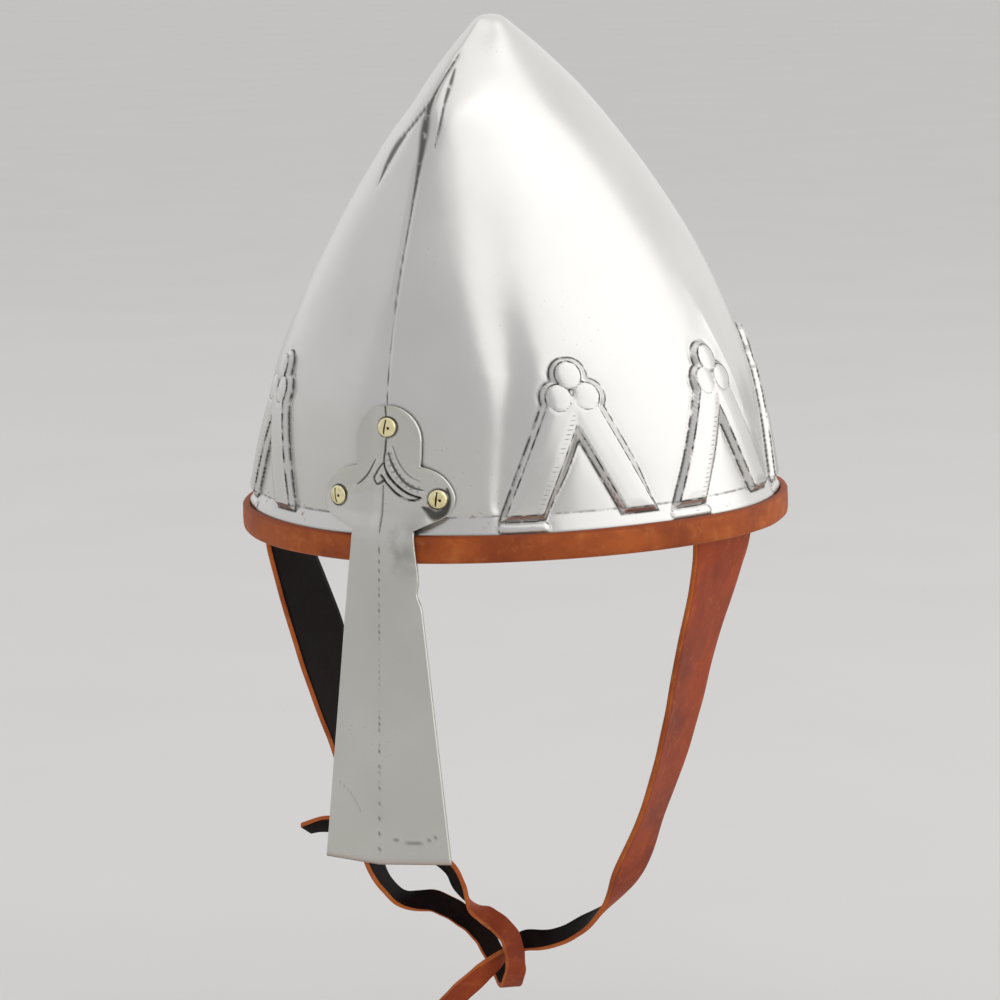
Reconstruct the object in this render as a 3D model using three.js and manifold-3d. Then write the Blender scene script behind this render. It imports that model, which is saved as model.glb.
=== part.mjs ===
// Conical steel helmet with a keeled nasal, a leather rim binding and a tied leather chin strap.
// Millimetres, +Z up. The origin is the middle of the rim, level with the binding's top edge.
// The wearer looks along -Y, so the nasal is at -Y and the wearer's left is at +X.
import * as THREE from "three";
import { mergeVertices } from "three/addons/utils/BufferGeometryUtils.js";
import Module from "manifold-3d";

const wasm = await Module();
wasm.setup();

// Driving dimensions ---------------------------------------------------------------------------
const WALL = 1.5;            // steel sheet of the shell
const GAP = 0.3;             // clearance left between neighbouring pieces
const CREASE_Z = 6.5;        // height at which the shell starts to flare out towards the rim
const FLARE = 2.3;           // how far the rim band stands out below that crease
const SHELL_FOOT = -7.8;     // the shell's cut edge, inside the binding
const LENS_AT_RIM = 0.2;     // how far a level section leans from an ellipse to a pointed lens
const LENS_GAIN = 0.41;      // and how much more it does so at the apex
const APEX_LEAN = -12;       // the apex sits this far forward of the middle
const LEAN_START = 92;       // height at which that lean begins
const SHELL_SEGMENTS = 52;

// Height, half width and half length of the shell from the crease to the apex.
const STATIONS = [
  [6.5, 101.6, 111.0],
  [30, 96.6, 111.2],
  [52, 90.6, 109.4],
  [74, 81.6, 104.0],
  [96, 70.2, 95.6],
  [118, 57.2, 83.6],
  [138, 43.2, 70.3],
  [156, 28.5, 57.6],
  [172, 15.8, 36.0],
  [182, 8.6, 18.0],
  [186.8, 4.4, 8.6],
  [188, 0, 0],
];
const APEX_Z = STATIONS[STATIONS.length - 1][0];

// Eight embossed chevrons: place along the rim from the nasal, and the lean of the head.
const CHEVRONS = [
  [71.8, 3.8],
  [143.1, 3.2],
  [216, 1],
  [289, 0],
  [-78.4, 0.5],
  [-150, -1],
  [-221, 0],
  [-292, 0],
];
const RELIEF = 2.4;          // height of the embossing
const RELIEF_ROOT = -1.1;    // how far its solid reaches into the sheet
const LEG_STATIONS = [0, 0.073, 0.3, 0.55, 0.78, 1];
const LEG_FOOT = [23, 3.0];  // a leg's lower end: sideways from the middle, and height
const LEG_HEAD = [1, 51];     // its upper end, under the trefoil
const LEG_BASE = 7.6;        // half width of a leg where it leaves the sheet
const LEG_TOP = 5.6;         // half width of its raised face
const LOBES = [[0, 58.5], [-6, 49.2], [6, 49.2]];
const LOBE_BASE = 5.9;
const LOBE_TOP = 4.5;
const LOBE_SIDES = 9;

const NASAL_THICK = 1.5;
const NASAL_FOOT = -122;     // the bar's straight-cut lower end
const NASAL_RIDGE = [-119.2, -128];  // Y of the keel at the neck and at the foot
const NASAL_KEEL = [1.6, 7.2];       // depth of the keel at the neck and at the foot
const NECK_Z = 2.4;
const NECK_HALF = 12.2;
const FOOT_HALF = 26;
const PLATE_TOP = 48.5;
const PLATE_LOBE = 13.4;     // radius of the plate's top lobe
const PLATE_SHIFT = 0.9;     // the top lobe sits this far to the wearer's left
const WING_TRIM = 0.155;     // and the wing on that side is this much shorter

// The three rivets: sideways from the middle, and height.
const RIVETS = { top: [1.4, 40.3], right: [-20.2, 14], left: [19.4, 13.8] };
const RIVET_HEAD = 3.6;
const RIVET_SHANK = 1.7;
const RIVET_SIDES = 11;

const BINDING_OUT = 2.8;     // leather on the outside of the rim
const BINDING_IN = 2.0;      // leather turned up on the inside
const BINDING_FOOT = -10.4;

const STRAP_THICK = 2;

const steel = () => new THREE.MeshStandardMaterial({ color: 0xc9c9c6, metalness: 1, roughness: 0.2 });
const brass = () => new THREE.MeshStandardMaterial({ color: 0xd9b860, metalness: 1, roughness: 0.3 });
const leather = (color) => new THREE.MeshStandardMaterial({ color, metalness: 0, roughness: 0.6 });

// Small helpers --------------------------------------------------------------------------------
const clamp01 = (value) => Math.min(1, Math.max(0, value));
const mix = (a, b, f) => a + (b - a) * f;
const smooth = (value) => {
  const f = clamp01(value);
  return f * f * (3 - 2 * f);
};

// A point of the Catmull-Rom curve through equally weighted rows of numbers.
function curveRow(rows, position) {
  const last = rows.length - 2;
  const i = Math.min(Math.max(Math.floor(position), 1), last - 1);
  const f = position - i;
  return rows[i].map((_, axis) => {
    const [p0, p1, p2, p3] = [-1, 0, 1, 2].map((step) => rows[i + step][axis]);
    const start = (p2 - p0) / 2;
    const end = (p3 - p1) / 2;
    const bend = 3 * (p2 - p1) - 2 * start - end;
    return p1 + f * (start + f * (bend + f * (2 * (p1 - p2) + start + end)));
  });
}

// Joins rings of points into one closed skin. A ring of one point is a pole; a skin whose
// rings form a loop closes on its first ring, and any other open end is capped.
function skin(rings, looped = false) {
  const position = rings.flat().flat();
  const starts = [];
  rings.reduce((sum, ring) => (starts.push(sum), sum + ring.length), 0);
  const index = [];
  const count = looped ? rings.length : rings.length - 1;
  for (let r = 0; r < count; r++) {
    const next = (r + 1) % rings.length;
    const [a, b] = [rings[r].length, rings[next].length];
    const sides = Math.max(a, b);
    for (let k = 0; k < sides; k++) {
      const [p, q] = [starts[r] + (k % a), starts[r] + ((k + 1) % a)];
      const [s, t] = [starts[next] + (k % b), starts[next] + ((k + 1) % b)];
      if (a > 1) index.push(p, q, s);
      if (b > 1) index.push(a > 1 ? q : p, t, s);
    }
  }
  if (!looped) {
    const end = rings.length - 1;
    for (let k = 1; k + 1 < rings[0].length; k++) index.push(starts[0], starts[0] + k + 1, starts[0] + k);
    for (let k = 1; k + 1 < rings[end].length; k++) index.push(starts[end], starts[end] + k, starts[end] + k + 1);
  }
  const geometry = new THREE.BufferGeometry();
  geometry.setAttribute("position", new THREE.Float32BufferAttribute(position, 3));
  geometry.setIndex(index);
  return facingOut(geometry);
}

// Turns every face over where the skin would otherwise enclose a negative volume.
function facingOut(geometry) {
  const place = geometry.getAttribute("position");
  const index = Array.from(geometry.index.array);
  const [a, b, c] = [new THREE.Vector3(), new THREE.Vector3(), new THREE.Vector3()];
  let volume = 0;
  for (let k = 0; k < index.length; k += 3) {
    a.fromBufferAttribute(place, index[k]);
    b.fromBufferAttribute(place, index[k + 1]);
    c.fromBufferAttribute(place, index[k + 2]);
    volume += a.dot(b.cross(c));
  }
  if (volume < 0) {
    for (let k = 0; k < index.length; k += 3) {
      [index[k + 1], index[k + 2]] = [index[k + 2], index[k + 1]];
    }
    geometry.setIndex(index);
  }
  return geometry;
}

function solid(source) {
  const bare = source.clone();
  bare.deleteAttribute("normal");
  bare.deleteAttribute("uv");
  const merged = bare.index && !source.getAttribute("uv") ? bare : mergeVertices(bare, 1e-4);
  const mesh = new wasm.Mesh({
    numProp: 3,
    vertProperties: new Float32Array(merged.getAttribute("position").array),
    triVerts: new Uint32Array(merged.index.array),
  });
  mesh.merge();
  return new wasm.Manifold(mesh);
}

function geometryOf(body) {
  const mesh = body.getMesh();
  const geometry = new THREE.BufferGeometry();
  geometry.setAttribute("position", new THREE.Float32BufferAttribute(mesh.vertProperties, 3));
  geometry.setIndex(Array.from(mesh.triVerts));
  return geometry;
}

// The shell's outer face -----------------------------------------------------------------------
const first = STATIONS[0];
const before = STATIONS[1].map((value, axis) => 2 * first[axis] - value);
const mirrored = STATIONS[STATIONS.length - 2].map((value, axis) => (axis === 0 ? value : -value));
const profileRows = [before, ...STATIONS, mirrored];
const PROFILE_STEPS = 600;
const profile = Array.from({ length: PROFILE_STEPS + 1 }, (_, k) =>
  curveRow(profileRows, 1 + ((STATIONS.length - 1) * k) / PROFILE_STEPS));

// Half width and half length of the level section at a height.
function halfAxes(z) {
  if (z <= CREASE_Z) {
    const out = FLARE * clamp01(1 - z / CREASE_Z);
    return [first[1] + out, first[2] + out];
  }
  const k = Math.max(1, profile.findIndex((row) => row[0] >= z));
  const [low, high] = [profile[k - 1], profile[k]];
  const f = (z - low[0]) / (high[0] - low[0]);
  return [mix(low[1], high[1], f), mix(low[2], high[2], f)];
}

// The outer face at an angle round from the nasal and a height.
function shellPoint(angle, z) {
  const [halfWidth, halfLength] = halfAxes(z);
  const rise = clamp01(z / APEX_Z);
  const lens = LENS_AT_RIM + LENS_GAIN * rise * rise;
  const lean = APEX_LEAN * clamp01((z - LEAN_START) / (APEX_Z - LEAN_START)) ** 2;
  const s = Math.sin(angle);
  const x = halfWidth * ((1 - lens) * s + lens * s * Math.abs(s));
  return new THREE.Vector3(x, lean - halfLength * Math.cos(angle), z);
}

// The angle at which the front of the outer face passes a sideways distance from the middle.
function angleAt(x, z) {
  const lens = LENS_AT_RIM + LENS_GAIN * clamp01(z / APEX_Z) ** 2;
  const share = Math.abs(x) / halfAxes(z)[0];
  const s = (Math.sqrt((1 - lens) ** 2 + 4 * lens * share) - (1 - lens)) / (2 * lens);
  return Math.sign(x) * Math.asin(s);
}

function shellNormal(angle, z) {
  const step = 0.4;
  const top = Math.min(z + step, APEX_Z - 0.05);
  const across = shellPoint(angle + 0.01, z).sub(shellPoint(angle - 0.01, z));
  const up = shellPoint(angle, top).sub(shellPoint(angle, z - step));
  return across.cross(up).normalize();
}

function onShell(angle, z, lift) {
  return shellPoint(angle, z).addScaledVector(shellNormal(angle, z), lift);
}

// Angle at a distance along the rim from the nasal, found by walking round it.
function rimAngle(distance) {
  const step = Math.sign(distance) * 0.002;
  let walked = 0;
  let angle = 0;
  while (walked < Math.abs(distance)) {
    walked += shellPoint(angle + step, CREASE_Z).distanceTo(shellPoint(angle, CREASE_Z));
    angle += step;
  }
  return angle;
}

// A point placed in millimetres sideways from a line up the shell.
function besideLine(angle, x, z, lift) {
  const rate = shellPoint(angle + 0.01, z).distanceTo(shellPoint(angle - 0.01, z)) / 0.02;
  return onShell(angle + x / rate, z, lift);
}

const asRow = (point) => [point.x, point.y, point.z];

// Shell: a raised cone of sheet steel with its embossed chevrons --------------------------------
const ROW_HEIGHTS = [0, CREASE_Z, 22, 42, 62, 82, 101, 119, 136, 151, 164, 174, 181.5, 185.5];

function shellRing(z, inset) {
  return Array.from({ length: SHELL_SEGMENTS }, (_, k) => {
    const angle = (2 * Math.PI * k) / SHELL_SEGMENTS;
    return asRow(onShell(angle, z, -inset));
  });
}

function shellBody() {
  const outer = [SHELL_FOOT, ...ROW_HEIGHTS].map((z) => shellRing(z, 0));
  const inner = [SHELL_FOOT, ...ROW_HEIGHTS].map((z) => shellRing(z, WALL));
  const apex = [0, APEX_LEAN, APEX_Z];
  const innerApex = [0, APEX_LEAN, APEX_Z - WALL];
  return solid(skin([[apex], ...outer.reverse(), ...inner, [innerApex]]));
}

function chevronBody(distance, lean) {
  const angle = rimAngle(distance);
  const parts = [];
  for (const side of [-1, 1]) {
    const foot = new THREE.Vector2(side * LEG_FOOT[0], LEG_FOOT[1]);
    const head = new THREE.Vector2(lean + side * LEG_HEAD[0], LEG_HEAD[1]);
    const along = head.clone().sub(foot).normalize();
    const rings = LEG_STATIONS.map((share) => {
      const middle = foot.clone().lerp(head, share);
      const corner = (half, lift) => asRow(besideLine(angle, middle.x - half / along.y, middle.y, lift));
      return [
        corner(-LEG_BASE, RELIEF_ROOT),
        corner(-LEG_TOP, RELIEF),
        corner(LEG_TOP, RELIEF),
        corner(LEG_BASE, RELIEF_ROOT),
      ];
    });
    parts.push(solid(skin(rings)));
  }
  for (const [x, z] of LOBES) {
    const ring = (radius, lift) => Array.from({ length: LOBE_SIDES }, (_, k) => {
      const turn = (2 * Math.PI * k) / LOBE_SIDES;
      const spot = [lean + x + radius * Math.cos(turn), z + radius * Math.sin(turn)];
      return asRow(besideLine(angle, spot[0], spot[1], lift));
    });
    parts.push(solid(skin([ring(LOBE_BASE, RELIEF_ROOT), ring(LOBE_TOP, RELIEF)])));
  }
  return parts.reduce((whole, piece) => whole.add(piece));
}

// Nasal: a keeled bar with a trefoil plate that lies on the shell --------------------------------
// Half the outline of the plate and bar, from the top down.
function nasalOutline() {
  const outline = new THREE.Path();
  outline.moveTo(0, PLATE_TOP);
  outline.absarc(0, PLATE_TOP - PLATE_LOBE, PLATE_LOBE, Math.PI / 2, 0, true);
  outline.lineTo(13.1, 25.8);
  outline.quadraticCurveTo(25.5, 23.5, 28.2, 14.6);
  outline.quadraticCurveTo(29, 8, 21, 5.6);
  outline.lineTo(NECK_HALF + 0.4, NECK_Z);
  outline.lineTo(FOOT_HALF, NASAL_FOOT);
  return outline.getPoints(5);
}

// Sideways place of a point at a fraction across the outline's half width.
function plateX(share, edge) {
  const trim = share > 0 && edge.y > NECK_Z ? WING_TRIM * Math.max(0, edge.x - PLATE_LOBE) : 0;
  return share * (edge.x - trim) + PLATE_SHIFT * smooth((edge.y - 18) / 12);
}

// Front face of the nasal at a height and a fraction across its half width.
function nasalFront(x, half, z) {
  const share = Math.abs(x) / half;
  const down = clamp01((NECK_Z - z) / (NECK_Z - NASAL_FOOT));
  const keel = mix(NASAL_KEEL[0], NASAL_KEEL[1], down);
  const bar = mix(NASAL_RIDGE[0], NASAL_RIDGE[1], down) + keel * share;
  const level = Math.max(z, CREASE_Z);
  const stand = 2.2 + 2.6 * smooth((20 - z) / 20);
  const plate = shellPoint(angleAt(x, level), level).y - stand - 0.8 * (1 - smooth(Math.abs(x) / 6));
  return mix(plate, bar, smooth((9 - z) / 10));
}

const ACROSS = [-1, -0.55, -0.2, 0, 0.2, 0.55, 1];

function nasalBody() {
  const outline = nasalOutline().slice(1);
  const bar = [-8, -40, -80].map((z) => {
    const down = (NECK_Z - z) / (NECK_Z - NASAL_FOOT);
    return new THREE.Vector2(mix(NECK_HALF + 0.4, FOOT_HALF, down), z);
  });
  const rows = [...outline.slice(0, -1), ...bar, outline[outline.length - 1]];
  const rings = rows.map((edge) => {
    const front = ACROSS.map((share) => {
      const x = plateX(share, edge);
      return [x, nasalFront(x, edge.x, edge.y), edge.y];
    });
    const back = front.map(([x, y, z]) => [x, y + NASAL_THICK, z]).reverse();
    return [...front, ...back];
  });
  return solid(skin(rings));
}

// Rivet: a domed head on the nasal, a shank through both sheets and a tail spread inside ---------
function rivetPose([x, z]) {
  const angle = angleAt(x, z);
  const normal = shellNormal(angle, z);
  const seat = shellPoint(angle, z);
  const turn = new THREE.Quaternion().setFromUnitVectors(new THREE.Vector3(0, 1, 0), normal);
  return { seat, normal, turn };
}

// Distance from the shell's outer face out to the nasal's front face, along a rivet.
function nasalStand([x, z]) {
  const half = z > 30 ? PLATE_LOBE : 2 * PLATE_LOBE;
  return rivetPose([x, z]).seat.y - nasalFront(x, half, z);
}

function rivetGeometry(spot) {
  const seat = nasalStand(spot) + GAP + 0.15;
  const inside = -WALL - GAP - 0.15;
  const profilePoints = [
    [0, inside - 1.2],
    [2.2, inside - 1.0],
    [2.9, inside],
    [RIVET_SHANK, inside],
    [RIVET_SHANK, seat],
    [RIVET_HEAD, seat],
    [RIVET_HEAD - 0.3, seat + 0.8],
    [RIVET_HEAD * 0.6, seat + 1.5],
    [0, seat + 1.8],
  ].map(([r, y]) => new THREE.Vector2(r, y));
  const lathe = new THREE.LatheGeometry(profilePoints, RIVET_SIDES);
  lathe.deleteAttribute("normal");
  lathe.deleteAttribute("uv");
  return geometryOf(solid(mergeVertices(lathe, 1e-4)));
}

function rivetHole(spot) {
  const { seat, turn } = rivetPose(spot);
  const hole = new THREE.CylinderGeometry(RIVET_SHANK + GAP, RIVET_SHANK + GAP, 24, RIVET_SIDES);
  hole.applyQuaternion(turn);
  hole.translate(seat.x, seat.y, seat.z);
  return solid(hole);
}

// Binding: one leather strip folded under the rim ------------------------------------------------
function bindingGeometry() {
  const section = [
    [GAP, 0],
    [GAP + BINDING_OUT, 0],
    [GAP + BINDING_OUT, BINDING_FOOT + 1.2],
    [GAP + BINDING_OUT - 1.4, BINDING_FOOT],
    [-WALL - GAP - BINDING_IN + 1.2, BINDING_FOOT],
    [-WALL - GAP - BINDING_IN, BINDING_FOOT + 1.2],
    [-WALL - GAP - BINDING_IN, -0.8],
    [-WALL - GAP, -0.8],
    [-WALL - GAP, SHELL_FOOT - GAP],
    [GAP, SHELL_FOOT - GAP],
  ];
  const rings = Array.from({ length: SHELL_SEGMENTS }, (_, k) => {
    const angle = (2 * Math.PI * k) / SHELL_SEGMENTS;
    return section.map(([out, z]) => {
      const base = onShell(angle, SHELL_FOOT, out);
      return [base.x, base.y, z];
    });
  });
  return skin(rings, true);
}

// Chin strap: two tapering ribbons, hooked round each other below the chin -----------------------
// Each row holds a place, the direction across the ribbon there, and the ribbon's width.
const STRAP_RIGHT = [
  [-95.2, -17, -1.5, -0.17, 1, 0, 40],
  [-94.6, -17, -13, -0.15, 1, 0, 41],
  [-91.4, -17, -26, -0.1, 1, 0, 42],
  [-81.5, -17, -55, 0, 1, 0, 41],
  [-75, -16.5, -79, 0, 1, 0, 37],
  [-67.5, -16, -103, 0, 1, 0, 32],
  [-63.5, -15, -128, 0, 1, 0, 22],
  [-60.5, -14, -150, -0.05, 1, 0.05, 14],
  [-55.5, -13, -160, -0.1, 1, 0.1, 11],
  [-48, -12, -165.5, -0.2, 0.9, 0.45, 9.5],
  [-35.5, -11, -165.5, -0.05, 0.45, 0.9, 9],
  [-26, -9, -170, 0.3, 0.6, 0.75, 9],
  [-18, -8, -176, 0.4, 0.75, 0.55, 9],
  [-12.5, -8, -183.5, 0.45, 0.85, 0.3, 9],
  [-7.5, -9, -192.5, 0.55, 0.85, 0.05, 8.5],
  [-0.5, -16.5, -195.5, 0.5, 0.85, -0.1, 8.5],
  [5.5, -24, -187.5, 0.45, 0.8, -0.4, 8.5],
  [5.5, -24.5, -179.5, 0.45, 0.9, 0, 9],
  [2.5, -24, -172.5, 0.35, 0.9, 0.35, 9],
  [-5.5, -23, -167, 0.05, 0.9, 0.45, 9],
  [-13.5, -21.5, -163.5, -0.35, 0.95, 0.05, 9],
  [-19.5, -20.5, -156, -0.7, 0.6, -0.35, 9],
  [-24.5, -20, -148.5, -0.65, 0.6, -0.45, 9],
  [-35.5, -19.5, -142.5, -0.55, 0.55, -0.65, 9],
  [-49.5, -19, -139, -0.45, 0.45, -0.75, 9],
  [-64.5, -18.5, -137, -0.4, 0.5, -0.8, 9],
  [-78.5, -18, -135.5, -0.35, 0.6, -0.7, 9],
  [-89, -17.5, -138, -0.4, 0.7, -0.55, 8],
];
const STRAP_LEFT = [
  [95.2, -17, -1.5, 0.17, 1, 0, 40],
  [94.6, -17, -13, 0.15, 1, 0, 40],
  [91, -17, -29, 0.08, 1, 0, 39],
  [82.6, -17, -57, 0, 1, 0, 38],
  [77, -16.5, -79, 0, 1, 0, 34],
  [70, -16, -102, 0, 1, 0, 30],
  [61.5, -16, -124, 0, 1, 0, 26.5],
  [51.5, -16, -146.5, 0.1, 0.95, -0.25, 20],
  [42.5, -15.5, -160, -0.3, 0.9, -0.25, 12],
  [31, -15, -169, -0.6, 0.75, 0.2, 9.5],
  [18.5, -15, -175.5, -0.5, 0.75, 0.45, 9],
  [5.5, -15.5, -177.5, -0.3, 0.65, 0.7, 9],
  [-0.5, -17.5, -181.5, -0.1, 1, -0.2, 8.5],
  [-9, -22, -189.5, 0.3, 0.6, -0.7, 8.5],
  [-20, -22.5, -199.5, 0.35, 0.55, -0.75, 9],
  [-27, -22.5, -207.5, 0.45, 0.6, -0.7, 9],
  [-33, -22.5, -219.5, 0.55, 0.65, -0.5, 9],
];
const STRAP_STEPS = 2;           // sections between one row and the next

function strapGeometry(stations) {
  const mirror = (a, b) => a.map((value, axis) => 2 * value - b[axis]);
  const end = stations.length - 1;
  const rows = [mirror(stations[0], stations[1]), ...stations, mirror(stations[end], stations[end - 1])];
  const rings = [];
  for (let k = 0; k <= end * STRAP_STEPS; k++) {
    const at = 1 + k / STRAP_STEPS;
    const row = curveRow(rows, at);
    const [ahead, behind] = [curveRow(rows, at + 0.02), curveRow(rows, at - 0.02)];
    const along = new THREE.Vector3(ahead[0] - behind[0], ahead[1] - behind[1], ahead[2] - behind[2]).normalize();
    const across = new THREE.Vector3(row[3], row[4], row[5]);
    across.addScaledVector(along, -across.dot(along)).normalize();
    const face = new THREE.Vector3().crossVectors(along, across);
    const corner = (u, v) => asRow(new THREE.Vector3(row[0], row[1], row[2])
      .addScaledVector(across, (u * row[6]) / 2)
      .addScaledVector(face, (v * STRAP_THICK) / 2));
    rings.push([corner(-1, -1), corner(1, -1), corner(1, 1), corner(-1, 1)]);
  }
  return skin(rings);
}

// Assembly ---------------------------------------------------------------------------------------
const helmet = new THREE.Group();

function addPiece(name, geometry, material) {
  const mesh = new THREE.Mesh(geometry, material);
  mesh.name = name;
  helmet.add(mesh);
  return mesh;
}

let shell = shellBody();
for (const [distance, lean] of CHEVRONS) shell = shell.add(chevronBody(distance, lean));
let nasal = nasalBody();
for (const spot of Object.values(RIVETS)) {
  shell = shell.subtract(rivetHole(spot));
  nasal = nasal.subtract(rivetHole(spot));
}
addPiece("shell", geometryOf(shell), steel());
addPiece("nasal", geometryOf(nasal), steel());
for (const [name, spot] of Object.entries(RIVETS)) {
  const rivet = addPiece(`rivet_${name}`, rivetGeometry(spot), brass());
  const { seat, turn } = rivetPose(spot);
  rivet.position.copy(seat);
  rivet.quaternion.copy(turn);
}
addPiece("rim_binding", bindingGeometry(), leather(0xa8522a));
addPiece("strap_right", strapGeometry(STRAP_RIGHT), leather(0x9a4a2c));
addPiece("strap_left", strapGeometry(STRAP_LEFT), leather(0x9a4a2c));

export default helmet;
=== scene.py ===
"""Looks of a conical steel helmet with a riveted nasal, a leather rim binding and a tied leather
chin strap. Metres, +Z up, origin in the middle of the rim; the wearer looks along -Y."""
import math

import bmesh
import bpy
import numpy as np
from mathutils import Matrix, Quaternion, Vector


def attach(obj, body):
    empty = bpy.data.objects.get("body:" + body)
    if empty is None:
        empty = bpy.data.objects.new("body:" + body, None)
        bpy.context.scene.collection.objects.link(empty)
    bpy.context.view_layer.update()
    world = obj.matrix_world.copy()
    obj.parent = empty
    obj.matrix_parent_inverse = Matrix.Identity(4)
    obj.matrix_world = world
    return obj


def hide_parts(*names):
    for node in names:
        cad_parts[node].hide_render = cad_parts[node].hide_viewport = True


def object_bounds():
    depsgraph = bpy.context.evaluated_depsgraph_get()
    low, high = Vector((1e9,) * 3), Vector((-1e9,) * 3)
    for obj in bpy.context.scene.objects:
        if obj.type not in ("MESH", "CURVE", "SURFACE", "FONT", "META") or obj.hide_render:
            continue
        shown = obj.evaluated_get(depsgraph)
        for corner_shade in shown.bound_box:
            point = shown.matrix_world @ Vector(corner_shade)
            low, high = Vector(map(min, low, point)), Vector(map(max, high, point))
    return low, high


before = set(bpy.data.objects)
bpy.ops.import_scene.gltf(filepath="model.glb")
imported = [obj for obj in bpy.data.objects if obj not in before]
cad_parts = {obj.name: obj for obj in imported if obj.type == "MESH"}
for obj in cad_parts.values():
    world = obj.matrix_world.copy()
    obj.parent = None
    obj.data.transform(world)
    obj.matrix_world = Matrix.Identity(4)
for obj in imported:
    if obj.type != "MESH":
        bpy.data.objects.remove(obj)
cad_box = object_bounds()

MM = 0.001

# --- Camera ---------------------------------------------------------------------------------------
# A long portrait lens, a little above the rim and to the wearer's left of the nose, with the
# slight tilt of a hand-held frame.
CAMERA_AZIMUTH = math.radians(25.1)
CAMERA_HEIGHT = math.radians(8.33)
CAMERA_TILT = math.radians(-1.56)
CAMERA_DISTANCE = 1.8
CAMERA_LENS = 164.5

camera_data = bpy.data.cameras.new("camera")
camera_data.lens = CAMERA_LENS
camera_data.shift_x = -0.0154
camera_data.shift_y = -0.0085
camera = bpy.data.objects.new("camera", camera_data)
bpy.context.scene.collection.objects.link(camera)
back = Vector((
    math.sin(CAMERA_AZIMUTH) * math.cos(CAMERA_HEIGHT),
    -math.cos(CAMERA_AZIMUTH) * math.cos(CAMERA_HEIGHT),
    math.sin(CAMERA_HEIGHT),
))
camera.location = back * CAMERA_DISTANCE
camera.rotation_mode = "QUATERNION"
camera.rotation_quaternion = back.to_track_quat("Z", "Y") @ Quaternion((0, 0, 1), CAMERA_TILT)
bpy.context.scene.camera = camera

# --- Shell ----------------------------------------------------------------------------------------
# Two halves of 1.5 mm sheet steel raised to a point and welded fore and aft, then polished. Eight
# chevrons with trefoil heads are driven out from behind, and the rim is flared to take a binding.
WALL = 1.5
CREASE_Z = 6.5
FLARE = 2.3
SHELL_FOOT = -7.8
APEX_LEAN = -12
LEAN_START = 92
LENS_AT_RIM = 0.2
LENS_GAIN = 0.41
STATIONS = np.array([
    [6.5, 101.6, 111.0], [30, 96.6, 111.2], [52, 90.6, 109.4], [74, 81.6, 104.0],
    [96, 70.2, 95.6], [118, 57.2, 83.6], [138, 43.2, 70.3], [156, 28.5, 57.6],
    [172, 15.8, 36.0], [182, 8.6, 18.0], [186.8, 4.4, 8.6], [188, 0, 0],
])
APEX_Z = STATIONS[-1, 0]


def smooth(value):
    """An eased ramp from 0 to 1."""
    ramp = np.clip(value, 0, 1)
    return ramp * ramp * (3 - 2 * ramp)


def curve_rows(rows, places):
    """Points of the Catmull-Rom curve through equally weighted rows of numbers."""
    low = np.clip(np.floor(places).astype(int), 1, len(rows) - 3)
    f = (places - low)[:, None]
    p0, p1, p2, p3 = (rows[low + step] for step in (-1, 0, 1, 2))
    start, end = (p2 - p0) / 2, (p3 - p1) / 2
    bend = 3 * (p2 - p1) - 2 * start - end
    return p1 + f * (start + f * (bend + f * (2 * (p1 - p2) + start + end)))


profile_rows = np.vstack([
    2 * STATIONS[0] - STATIONS[1],
    STATIONS,
    STATIONS[-2] * (1, -1, -1),
])
profile = curve_rows(profile_rows, np.linspace(1, len(STATIONS), 1201))


def shell_point(angle, z):
    """Outer face, in millimetres, at angles round from the nasal and heights."""
    flare = FLARE * np.clip(1 - z / CREASE_Z, 0, 1)
    half_width = np.interp(z, profile[:, 0], profile[:, 1]) + flare
    half_length = np.interp(z, profile[:, 0], profile[:, 2]) + flare
    lens = LENS_AT_RIM + LENS_GAIN * np.clip(z / APEX_Z, 0, 1) ** 2
    lean = APEX_LEAN * np.clip((z - LEAN_START) / (APEX_Z - LEAN_START), 0, 1) ** 2
    s = np.sin(angle)
    x = half_width * ((1 - lens) * s + lens * s * np.abs(s))
    return np.stack([x, lean - half_length * np.cos(angle), z + 0 * angle], -1)


def shell_normal(angle, z):
    """Outward normal of the same face."""
    across = shell_point(angle + 0.004, z) - shell_point(angle - 0.004, z)
    up = shell_point(angle, np.minimum(z + 0.25, APEX_Z - 0.02)) - shell_point(angle, z - 0.25)
    normal = np.cross(across, up)
    return normal / np.linalg.norm(normal, axis=-1, keepdims=True)


def angle_at(x, z):
    """The angle at which the front of the face passes a sideways distance from the middle."""
    lens = LENS_AT_RIM + LENS_GAIN * np.clip(z / APEX_Z, 0, 1) ** 2
    flare = FLARE * np.clip(1 - z / CREASE_Z, 0, 1)
    share = np.abs(x) / (np.interp(z, profile[:, 0], profile[:, 1]) + flare)
    s = (np.sqrt((1 - lens) ** 2 + 4 * lens * share) - (1 - lens)) / (2 * lens)
    return np.sign(x) * np.arcsin(s)


HALF_TURN_STEPS = 2000
TURN_STEP = 0.004
round_angles = np.linspace(-np.pi, np.pi, 2 * HALF_TURN_STEPS + 1)
round_rim = shell_point(round_angles, CREASE_Z + 0 * round_angles)
round_steps = np.linalg.norm(np.diff(round_rim, axis=0), axis=1)
round_distance = np.concatenate([[0], np.cumsum(round_steps)])
round_distance -= round_distance[HALF_TURN_STEPS]


def rim_distance(angle):
    """Distance along the rim from the nasal, positive towards the wearer's left."""
    return np.interp(angle, round_angles, round_distance)


def beside_line(angle, z, distance):
    """Millimetres sideways from the line that climbs the shell from a place on the rim."""
    middle = np.interp(distance, round_distance, round_angles)
    across = shell_point(middle + TURN_STEP, z) - shell_point(middle - TURN_STEP, z)
    rate = np.linalg.norm(across, axis=-1) / (2 * TURN_STEP)
    turn = (angle - middle + np.pi) % (2 * np.pi) - np.pi
    return turn * rate


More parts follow.
